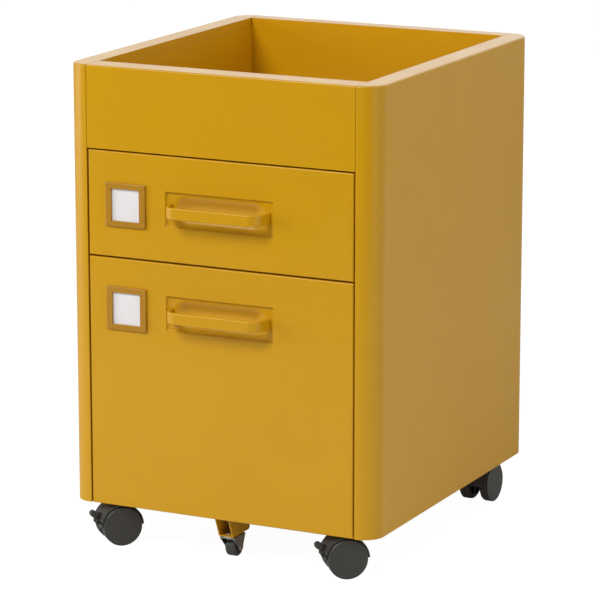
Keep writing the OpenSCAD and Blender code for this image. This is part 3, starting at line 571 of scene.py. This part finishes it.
@dataclass
class ScrewSet:
    """Cross-recessed screws with rolled threads, in the places of a node's plain ones."""

    frame: Frame
    finishes: Finishes
    node: str
    body: str
    # Slide screws are countersunk; the others have a pan head.
    countersunk: bool = False
    head_mm: float = 7.0
    pan_height_mm: float = 2.2
    sunk_height_mm: float = 1.2
    crown_mm: float = 0.9
    shank_mm: float = 3.4
    pitch_mm: float = 0.7
    # Height of the thread over its core, as a share of the pitch.
    ridge_share: float = 0.45
    recess_width_mm: float = 0.95
    recess_span_mm: float = 3.9
    recess_depth_mm: float = 1.1
    # The recess stops at this share of the head's height.
    recess_limit: float = 0.75
    head_sides: int = 32
    shank_sides: int = 24
    thread_sides: int = 4
    # Steps of the thread in one turn.
    thread_steps: int = 16
    # Corners of the plain screw that lie farther out than this share of the head are on its rim.
    rim_share: float = 0.45
    weld_mm: float = 0.001

    @property
    def head_height(self) -> float:
        """Height of the head in metres."""
        return (self.sunk_height_mm if self.countersunk else self.pan_height_mm) * MM

    def sizes(self, length: float) -> dict[str, float]:
        """The node tree's named sizes in metres.

        Args:
            length: Length of the shank in metres.

        Returns:
            The value of each size input.
        """
        return {
            "Head Diameter": self.head_mm * MM,
            "Head Height": self.head_height,
            "Foot Diameter": (self.shank_mm if self.countersunk else self.head_mm) * MM,
            "Crown": 0.0 if self.countersunk else self.crown_mm * MM,
            "Shank Diameter": self.shank_mm * MM,
            "Length": length,
            "Pitch": self.pitch_mm * MM,
            "Recess Width": self.recess_width_mm * MM,
            "Recess Span": self.recess_span_mm * MM,
            "Recess Depth": min(self.recess_depth_mm * MM, self.recess_limit * self.head_height),
        }

    def plan(self) -> tuple[bpy.types.NodeTree, dict[str, str]]:
        """Builds the node tree that puts one screw on each point.

        Returns:
            The tree, and each input's identifier by its name.
        """
        tree = bpy.data.node_groups.new(f"{self.node}_tree", "GeometryNodeTree")
        names = list(self.sizes(0.0))
        kinds = {
            "Places": "NodeSocketGeometry",
            **dict.fromkeys(names, "NodeSocketFloat"),
            "Material": "NodeSocketMaterial",
        }
        ids = {}
        for name, kind in kinds.items():
            socket = tree.interface.new_socket(name, in_out="INPUT", socket_type=kind)
            ids[name] = socket.identifier
        tree.interface.new_socket("Screws", in_out="OUTPUT", socket_type="NodeSocketGeometry")
        given = add_node(tree, "NodeGroupInput").outputs
        values = self.work_out(tree, {name: given[name] for name in names})
        screw = add_node(tree, "GeometryNodeJoinGeometry")
        for part in (self.head(tree, values), *self.shank(tree, values)):
            tree.links.new(part, screw.inputs[0])
        turn = add_node(
            tree, "GeometryNodeInputNamedAttribute", {"Name": "turn"}, data_type="FLOAT_VECTOR"
        )
        rotation = add_node(tree, "FunctionNodeEulerToRotation", {0: turn.outputs[0]})
        placed = add_node(
            tree,
            "GeometryNodeInstanceOnPoints",
            {
                "Points": given["Places"],
                "Instance": screw.outputs[0],
                "Rotation": rotation.outputs[0],
            },
        )
        real = add_node(
            tree, "GeometryNodeRealizeInstances", {"Geometry": placed.outputs["Instances"]}
        )
        done = add_node(
            tree,
            "GeometryNodeSetMaterial",
            {"Geometry": real.outputs[0], "Material": given["Material"]},
        )
        add_node(tree, "NodeGroupOutput", {0: done.outputs[0]})
        return tree, ids

    def work_out(
        self, tree: bpy.types.NodeTree, values: dict[str, bpy.types.NodeSocket]
    ) -> dict[str, bpy.types.NodeSocket]:
        """Adds the sums that the head and the shank are drawn from.

        Args:
            tree: The tree that gets the nodes.
            values: The tree's size inputs by name.

        Returns:
            The inputs and the sums by name.
        """
        position = add_node(tree, "GeometryNodeInputPosition")
        at = add_node(tree, "ShaderNodeSeparateXYZ", {"Vector": position.outputs[0]})
        values = values | {axis: at.outputs[axis] for axis in "XYZ"}
        for name, kind, first, second in (
            ("top radius", "DIVIDE", "Head Diameter", 2.0),
            ("foot radius", "DIVIDE", "Foot Diameter", 2.0),
            # The crown falls away from the middle of the top with the square of the distance.
            ("share x", "DIVIDE", "X", "top radius"),
            ("share y", "DIVIDE", "Y", "top radius"),
            ("square x", "POWER", "share x", 2.0),
            ("square y", "POWER", "share y", 2.0),
            ("out", "ADD", "square x", "square y"),
            ("up", "DIVIDE", "Z", "Head Height"),
            ("fall", "MULTIPLY", "out", "up"),
            ("deepest fall", "MULTIPLY", "Crown", -1.0),
            ("sunk", "MULTIPLY", "fall", "deepest fall"),
            # Half of the cutter stands over the head.
            ("cutter height", "MULTIPLY", "Recess Depth", 2.0),
            ("shank radius", "DIVIDE", "Shank Diameter", 2.0),
            ("ridge", "MULTIPLY", "Pitch", self.ridge_share),
            ("core radius", "SUBTRACT", "shank radius", "ridge"),
            ("shank middle", "DIVIDE", "Length", -2.0),
            # The thread keeps half a pitch from either end of the shank.
            ("thread run", "SUBTRACT", "Length", "Pitch"),
            ("thread turns", "DIVIDE", "thread run", "Pitch"),
            ("thread drop", "MULTIPLY", "thread run", -1.0),
            ("thread start", "MULTIPLY", "Pitch", -0.5),
        ):
            terms = {0: values.get(first, first), 1: values.get(second, second)}
            values[name] = add_node(tree, "ShaderNodeMath", terms, operation=kind).outputs[0]
        return values

    def head(
        self, tree: bpy.types.NodeTree, values: dict[str, bpy.types.NodeSocket]
    ) -> bpy.types.NodeSocket:
        """Adds the crowned head with its cross recess, standing on the origin.

        Args:
            tree: The tree that gets the nodes.
            values: The inputs and the sums by name.

        Returns:
            The head's mesh.
        """
        blank = add_node(
            tree,
            "GeometryNodeMeshCone",
            {
                "Vertices": self.head_sides,
                "Side Segments": 2,
                "Fill Segments": 4,
                "Radius Top": values["top radius"],
                "Radius Bottom": values["foot radius"],
                "Depth": values["Head Height"],
            },
        )
        sunk = add_node(tree, "ShaderNodeCombineXYZ", {"Z": values["sunk"]})
        crowned = add_node(
            tree,
            "GeometryNodeSetPosition",
            {"Geometry": blank.outputs["Mesh"], "Offset": sunk.outputs[0]},
        )
        cut = add_node(
            tree,
            "GeometryNodeMeshBoolean",
            {"Mesh 1": crowned.outputs[0]},
            operation="DIFFERENCE",
            solver="EXACT",
        )
        top = add_node(tree, "ShaderNodeCombineXYZ", {"Z": values["Head Height"]})
        for x, y in (("Recess Span", "Recess Width"), ("Recess Width", "Recess Span")):
            size = add_node(
                tree,
                "ShaderNodeCombineXYZ",
                {"X": values[x], "Y": values[y], "Z": values["cutter height"]},
            )
            bar = add_node(tree, "GeometryNodeMeshCube", {"Size": size.outputs[0]})
            lifted = add_node(
                tree,
                "GeometryNodeTransform",
                {"Geometry": bar.outputs["Mesh"], "Translation": top.outputs[0]},
            )
            tree.links.new(lifted.outputs[0], cut.inputs["Mesh 2"])
        return cut.outputs["Mesh"]

    def shank(
        self, tree: bpy.types.NodeTree, values: dict[str, bpy.types.NodeSocket]
    ) -> list[bpy.types.NodeSocket]:
        """Adds the shank with its thread, hanging below the origin.

        Args:
            tree: The tree that gets the nodes.
            values: The inputs and the sums by name.

        Returns:
            The core's mesh and the thread's.
        """
        core = add_node(
            tree,
            "GeometryNodeMeshCylinder",
            {
                "Vertices": self.shank_sides,
                "Radius": values["core radius"],
                "Depth": values["Length"],
            },
        )
        middle = add_node(tree, "ShaderNodeCombineXYZ", {"Z": values["shank middle"]})
        hung = add_node(
            tree,
            "GeometryNodeTransform",
            {"Geometry": core.outputs["Mesh"], "Translation": middle.outputs[0]},
        )
        helix = add_node(
            tree,
            "GeometryNodeCurveSpiral",
            {
                "Resolution": self.thread_steps,
                "Rotations": values["thread turns"],
                "Start Radius": values["core radius"],
                "End Radius": values["core radius"],
                "Height": values["thread drop"],
            },
        )
        start = add_node(tree, "ShaderNodeCombineXYZ", {"Z": values["thread start"]})
        lowered = add_node(
            tree,
            "GeometryNodeTransform",
            {"Geometry": helix.outputs["Curve"], "Translation": start.outputs[0]},
        )
        profile = add_node(
            tree,
            "GeometryNodeCurvePrimitiveCircle",
            {"Resolution": self.thread_sides, "Radius": values["ridge"]},
        )
        thread = add_node(
            tree,
            "GeometryNodeCurveToMesh",
            {
                "Curve": lowered.outputs[0],
                "Profile Curve": profile.outputs["Curve"],
                "Fill Caps": True,
            },
        )
        return [hung.outputs[0], thread.outputs["Mesh"]]

    def places(self) -> list[Screw]:
        """Finds the screws of the CAD node, each a loose part of its mesh.

        Returns:
            The screws' places, ways and lengths.
        """
        loose = bmesh.new()
        loose.from_mesh(self.frame["nodes"][self.node].data)
        bmesh.ops.remove_doubles(loose, verts=loose.verts, dist=self.weld_mm * MM)
        found, seen = [], set()
        for first in loose.verts:
            if first in seen:
                continue
            part, front = {first}, [first]
            while front:
                vert = front.pop()
                near = {edge.other_vert(vert) for edge in vert.link_edges} - part
                part |= near
                front += near
            seen |= part
            found.append(self.measure([vert.co.copy() for vert in part]))
        loose.free()
        return found

    def measure(self, points: list[Vector]) -> Screw:
        """Measures one screw from the corners of its CAD solid.

        Args:
            points: The solid's corners.

        Returns:
            The screw that they outline.
        """
        low = Vector([min(point[a] for point in points) for a in range(3)])
        high = Vector([max(point[a] for point in points) for a in range(3)])
        span, middle = high - low, (low + high) / 2
        # Across the screw its box is as wide as the head; along it, it isn't.
        axis = max(range(3), key=lambda a: abs(span[a] - self.head_mm * MM))
        heading = 0.0
        for point in points:
            out = point - middle
            along = out[axis]
            out[axis] = 0.0
            if out.length > self.rim_share * self.head_mm * MM:
                heading += along
        way = Vector([0.0, 0.0, 0.0])
        way[axis] = 1.0 if heading > 0 else -1.0
        place = middle + way * (span[axis] / 2 - self.head_height)
        return Screw(place, way, span[axis] - self.head_height)

    def make(
        self, tree: bpy.types.NodeTree, ids: dict[str, str], screws: list[Screw], length: float
    ) -> bpy.types.Mesh:
        """Runs the node tree on the places of screws of one length.

        Args:
            tree: The tree that makes the screws.
            ids: Each input's identifier by its name.
            screws: The screws, all of that length.
            length: Length of their shanks in metres.

        Returns:
            A plain mesh of the finished screws.
        """
        mesh = bpy.data.meshes.new(f"{self.node}_places")
        mesh.from_pydata([screw.place for screw in screws], [], [])
        turns = mesh.attributes.new("turn", "FLOAT_VECTOR", "POINT")
        for value, screw in zip(turns.data, screws):
            value.vector = screw.way.to_track_quat("Z", "Y").to_euler()
        points = bpy.data.objects.new(f"{self.node}_places", mesh)
        bpy.context.scene.collection.objects.link(points)
        modifier = points.modifiers.new("screws", "NODES")
        modifier.node_group = tree
        material = self.finishes.materials[Slot.ZINC]
        for name, value in (self.sizes(length) | {"Material": material}).items():
            modifier[ids[name]] = value
        graph = bpy.context.evaluated_depsgraph_get()
        made = bpy.data.meshes.new_from_object(points.evaluated_get(graph))
        bpy.data.objects.remove(points)
        bpy.data.meshes.remove(mesh)
        return made

    def build(self) -> None:
        """Replaces the CAD node's plain screws by one mesh of finished ones."""
        tree, ids = self.plan()
        by_length: dict[float, list[Screw]] = {}
        for screw in self.places():
            by_length.setdefault(round(screw.length, 5), []).append(screw)
        whole = bmesh.new()
        for length, screws in sorted(by_length.items()):
            made = self.make(tree, ids, screws, length)
            whole.from_mesh(made)
            bpy.data.meshes.remove(made)
            log.info("%s: %d screws of %.1f mm", self.node, len(screws), length / MM)
        mesh = bpy.data.meshes.new(f"{self.node}_threaded")
        whole.to_mesh(mesh)
        whole.free()
        piece = bpy.data.objects.new(f"{self.node}_threaded", mesh)
        bpy.context.scene.collection.objects.link(piece)
        self.finishes.dress(piece, Slot.ZINC)
        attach(piece, self.body)
        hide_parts(self.node)


@dataclass
class Body:
    """Panels, tray, base plate and what is fastened inside them."""

    frame: Frame
    finishes: Finishes
    painted: tuple[str, ...] = (
        "side_panel_left",
        "side_panel_right",
        "back_panel",
        "front_fascia",
        "compartment_tray",
        "base_plate",
    )
    plated: tuple[str, ...] = (
        "front_uprights",
        "rear_uprights",
        "upper_outer_rails",
        "lower_outer_rails",
        "caster_pads",
        "caster_stems",
        "caster_nuts",
    )

    def build(self) -> None:
        """Dresses the CAD nodes of the body."""
        for name in self.painted:
            self.finishes.dress(self.frame["nodes"][name], Slot.PAINT)
        for name in self.plated:
            self.finishes.dress(self.frame["nodes"][name], Slot.ZINC)


@dataclass
class FingerRecess:
    """Pressed recess behind a drawer front's opening, whose floor flows into the finger dish.

    The opening, flange, floor and wall keep the CAD node's sizes. The dish is drawn wider, higher,
    shallower and with a softer edge than in the CAD node.
    """

    finishes: Finishes
    drawer: Drawer
    opening_w: float = 147.0
    opening_h: float = 44.0
    flange: float = 4.0
    front_sheet: float = 1.0
    floor_depth: float = 3.0
    slope: float = 2.0
    wall: float = 1.2
    dish_w: float = 130.0
    dish_h: float = 40.0
    dish_depth: float = 8.5
    # Distance between the grid lines that the shell is drawn on.
    step: float = 1.0
    # Folds sharper than this many degrees stay crisp.
    crisp_angle: float = 30.0

    def stations(self, size: float) -> list[float]:
        """Grid lines across the recess, with one on each fold.

        Args:
            size: Width or height of the opening in millimetres.

        Returns:
            The places of the lines from the middle, in rising order.
        """
        edge, foot = size / 2, size / 2 - self.slope
        count = round(2 * foot / self.step)
        floor = [foot * (2 * i / count - 1) for i in range(count + 1)]
        return [-edge - self.flange, -edge, *floor, edge, edge + self.flange]

    def depth(self, x: float, z: float) -> float:
        """Depth of the visible face behind the front of the drawer.

        Args:
            x: Millimetres from the middle, along the drawer.
            z: Millimetres from the middle, upwards.

        Returns:
            The depth in millimetres.
        """
        inside = min(self.opening_w / 2 - abs(x), self.opening_h / 2 - abs(z))
        fold = min(max(inside / self.slope, 0.0), 1.0)
        pan = self.front_sheet + fold * (self.floor_depth - self.front_sheet)
        # The dish is a trough with round ends; both slopes start and end softly.
        half = self.dish_h / 2
        beyond = max(abs(x) - (self.dish_w / 2 - half), 0.0)
        out = min(math.hypot(beyond, z) / half, 1.0)
        return pan + self.dish_depth * (1 + math.cos(math.pi * out)) / 2

    def join(self, columns: int, rows: int) -> list[tuple[int, int, int, int]]:
        """Joins a grid of front points and one of back points into a closed shell.

        Args:
            columns: Points across.
            rows: Points upwards.

        Returns:
            The faces, which point outwards.
        """
        size, last = columns * rows, (columns - 1) * rows
        faces = []
        for start in range(0, last, rows):
            for a in range(start, start + rows - 1):
                b = a + rows
                faces.append((a, b, b + 1, a + 1))
                faces.append((size + a + 1, size + b + 1, size + b, size + a))
        for a in range(rows - 1):
            b = last + a
            faces.append((a, a + 1, size + a + 1, size + a))
            faces.append((b + 1, b, size + b, size + b + 1))
        for a in range(0, last, rows):
            b = a + rows
            faces.append((b, a, size + a, size + b))
            faces.append((b - 1, b + rows - 1, size + b + rows - 1, size + b - 1))
        return faces

    def build(self) -> None:
        """Replaces the CAD node by a closed shell with the soft dish."""
        node = f"{self.drawer.value}_handle_recess"
        low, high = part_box(node)
        middle = (Vector(low) + Vector(high)) / 2
        xs, zs = self.stations(self.opening_w), self.stations(self.opening_h)
        plate = self.floor_depth + self.wall
        front = [(x, self.depth(x, z), z) for x in xs for z in zs]
        back = [(x, max(plate, y + self.wall), z) for x, y, z in front]
        verts = [
            (middle.x + x * MM, low[1] + (y - self.front_sheet) * MM, middle.z + z * MM)
            for x, y, z in front + back
        ]
        mesh = bpy.data.meshes.new(f"{node}_shell")
        mesh.from_pydata(verts, [], self.join(len(xs), len(zs)))
        mesh.shade_smooth()
        mesh.set_sharp_from_angle(angle=math.radians(self.crisp_angle))
        piece = bpy.data.objects.new(f"{node}_shell", mesh)
        bpy.context.scene.collection.objects.link(piece)
        self.finishes.dress(piece, Slot.PAINT)
        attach(piece, f"{self.drawer.value}_drawer")
        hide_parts(node)


@dataclass
class DrawerUnit:
    """One drawer with its front, pull, label holder and slides."""

    frame: Frame
    finishes: Finishes
    drawer: Drawer
    painted: tuple[str, ...] = ("drawer_box", "drawer_front", "front_liner", "pull")
    plated: tuple[str, ...] = ("inner_rails", "middle_rails", "outer_cages", "inner_cages")

    def node(self, name: str) -> bpy.types.Object:
        """The drawer's CAD node of that name."""
        return self.frame["nodes"][f"{self.drawer.value}_{name}"]

    def build(self) -> None:
        """Dresses the CAD nodes of the drawer."""
        for name in self.painted:
            self.finishes.dress(self.node(name), Slot.PAINT)
        for name in self.plated:
            self.finishes.dress(self.node(name), Slot.ZINC)
        self.finishes.dress(self.node("label_card"), Slot.CARD)
        self.finishes.dress(self.node("label_frame"), Slot.OCHRE)


@dataclass
class Caster:
    """One twin-wheel caster."""

    frame: Frame
    finishes: Finishes
    corner: Corner

    def node(self, name: str) -> bpy.types.Object:
        """The caster's CAD node of that name."""
        return self.frame["nodes"][f"{self.corner.value}_{name}"]

    def build(self) -> None:
        """Dresses the CAD nodes of the caster."""
        moulded = ["hood", "wheels"] + (["brake"] if self.corner.braked else [])
        for name in moulded:
            self.finishes.dress(self.node(name), Slot.NYLON)
        self.finishes.dress(self.node("axle"), Slot.ZINC)


@dataclass
class DrawerSupport:
    """Bracket and small caster that carry the open lower drawer."""

    frame: Frame
    finishes: Finishes

    def build(self) -> None:
        """Dresses the CAD nodes of the support."""
        slots = {
            "support_hanger": Slot.PAINT,
            "support_bracket": Slot.PAINT,
            "support_rivets": Slot.PAINT,
            "support_kingpin": Slot.ZINC,
            "support_fork": Slot.ZINC,
            "support_axle": Slot.ZINC,
            "support_wheel": Slot.NYLON,
        }
        for name, slot in slots.items():
            self.finishes.dress(self.frame["nodes"][name], slot)


@dataclass
class SoftLamp:
    """A large rectangular softbox."""

    name: str
    place: tuple[float, float, float]
    width: float
    height: float
    watts: float
    # The middle of the cabinet.
    aim: tuple[float, float, float] = (0.0, 0.0, 0.3)

    def build(self) -> None:
        """Adds the lamp to the scene."""
        data = bpy.data.lights.new(self.name, "AREA")
        data.shape = "RECTANGLE"
        data.size, data.size_y = self.width, self.height
        data.energy = self.watts
        lamp = bpy.data.objects.new(self.name, data)
        bpy.context.scene.collection.objects.link(lamp)
        lamp.location = self.place
        direction = Vector(self.aim) - Vector(self.place)
        lamp.rotation_euler = direction.to_track_quat("-Z", "Y").to_euler()


@dataclass
class Studio:
    """Pale floor, soft light and the camera."""

    floor_reach: float = 8.0
    floor_colour: str = "#D8D8D8"
    floor_roughness: float = 0.9
    floor_front: float = -1.4
    # Share of the floor that the camera sees as plain white, as on a light table.
    floor_white: float = 0.8
    white_level: float = 1.2
    camera_place: tuple[float, float, float] = (1.8641, -3.7773, 1.258)
    camera_yaw: float = 26.27
    camera_pitch: float = 12.97
    camera_lens: float = 203.4
    camera_sensor: float = 36.0
    camera_clip: tuple[float, float] = (0.1, 50.0)
    rear_wall: float = 2.1
    lamps: tuple[SoftLamp, ...] = (
        SoftLamp("key", (-1.0, -3.1, 3.1), 1.5, 1.5, 118.0),
        SoftLamp("front", (0.9, -3.9, 1.9), 2.0, 1.6, 12.0),
        SoftLamp("right", (3.6, -0.9, 1.8), 2.4, 2.4, 53.0),
        SoftLamp("left", (-3.4, -1.6, 1.0), 1.6, 1.6, 58.0),
    )

    def add_floor(self) -> None:
        """Adds the floor as a square sheet that ends a step in front of the object."""
        mesh = bpy.data.meshes.new("floor")
        reach = self.floor_reach
        rim = [(-reach, self.floor_front, 0.0), (reach, self.floor_front, 0.0)]
        rim += [(reach, reach, 0.0), (-reach, reach, 0.0)]
        mesh.from_pydata(rim, [], [range(4)])
        floor = bpy.data.objects.new("floor", mesh)
        bpy.context.scene.collection.objects.link(floor)
        material, tree = new_material("matt_white_vinyl")
        vinyl = add_node(
            tree,
            "ShaderNodeBsdfPrincipled",
            {"Base Color": linear(self.floor_colour), "Roughness": self.floor_roughness},
        )
        white = add_node(tree, "ShaderNodeEmission", {"Strength": self.white_level})
        seen = add_node(tree, "ShaderNodeLightPath").outputs["Is Camera Ray"]
        share = add_node(
            tree, "ShaderNodeMath", {0: seen, 1: self.floor_white}, operation="MULTIPLY"
        )
        surface = add_node(
            tree, "ShaderNodeMixShader", {0: share.outputs[0], 1: vinyl.outputs[0], 2: white.outputs[0]}
        )
        add_node(tree, "ShaderNodeOutputMaterial", {"Surface": surface.outputs[0]})
        mesh.materials.append(material)

    def add_world(self) -> None:
        """Lights the room from a bright rear wall; its front half is dark.

        The camera itself sees plain white behind the object.
        """
        world = bpy.data.worlds.new("studio")
        world.use_nodes = True
        tree = world.node_tree
        tree.nodes.clear()
        way = add_node(tree, "ShaderNodeTexCoord").outputs["Generated"]
        parts = add_node(tree, "ShaderNodeSeparateXYZ", {"Vector": way})
        rear = add_node(tree, "ShaderNodeMath", {0: parts.outputs["Y"], 1: 0.0}, operation="MAXIMUM")
        soft = add_node(tree, "ShaderNodeMath", {0: rear.outputs[0], 1: 2.0}, operation="POWER")
        level = add_node(
            tree, "ShaderNodeMath", {0: soft.outputs[0], 1: self.rear_wall}, operation="MULTIPLY"
        )
        room = add_node(
            tree,
            "ShaderNodeBackground",
            {"Color": (1.0, 1.0, 1.0, 1.0), "Strength": level.outputs[0]},
        )
        plain = add_node(
            tree, "ShaderNodeBackground", {"Color": (1.0, 1.0, 1.0, 1.0), "Strength": 1.0}
        )
        seen = add_node(tree, "ShaderNodeLightPath").outputs["Is Camera Ray"]
        mixed = add_node(
            tree, "ShaderNodeMixShader", {0: seen, 1: room.outputs[0], 2: plain.outputs[0]}
        )
        add_node(tree, "ShaderNodeOutputWorld", {"Surface": mixed.outputs[0]})
        bpy.context.scene.world = world

    def add_camera(self) -> None:
        """Adds the camera that looks down on the front and the right side."""
        data = bpy.data.cameras.new("camera")
        data.lens, data.sensor_width = self.camera_lens, self.camera_sensor
        data.clip_start, data.clip_end = self.camera_clip
        camera = bpy.data.objects.new("camera", data)
        bpy.context.scene.collection.objects.link(camera)
        camera.location = self.camera_place
        camera.rotation_euler = (
            math.radians(90 - self.camera_pitch),
            0.0,
            math.radians(self.camera_yaw),
        )
        bpy.context.scene.camera = camera

    def build(self) -> None:
        """Sets up the whole studio."""
        self.add_floor()
        self.add_world()
        for lamp in self.lamps:
            lamp.build()
        self.add_camera()
        bpy.context.scene.view_settings.view_transform = "Standard"


def main() -> None:
    """Loads the frame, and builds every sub-assembly and the studio."""
    logging.basicConfig(level=logging.INFO, format="%(name)s: %(message)s")
    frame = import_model()
    finishes = Finishes()
    finishes.build()
    assemblies = [
        Body(frame, finishes),
        *(DrawerUnit(frame, finishes, drawer) for drawer in Drawer),
        *(FingerRecess(finishes, drawer) for drawer in Drawer),
        *(Caster(frame, finishes, corner) for corner in Corner),
        DrawerSupport(frame, finishes),
        ScrewSet(frame, finishes, "rail_screws", "cabinet", countersunk=True),
        *(
            ScrewSet(frame, finishes, f"{drawer.value}_drawer_screws", f"{drawer.value}_drawer")
            for drawer in Drawer
        ),
    ]
    for assembly in assemblies:
        assembly.build()
        log.info("built %s", type(assembly).__name__)
    Studio().build()


if __name__ == "__main__":
    main()
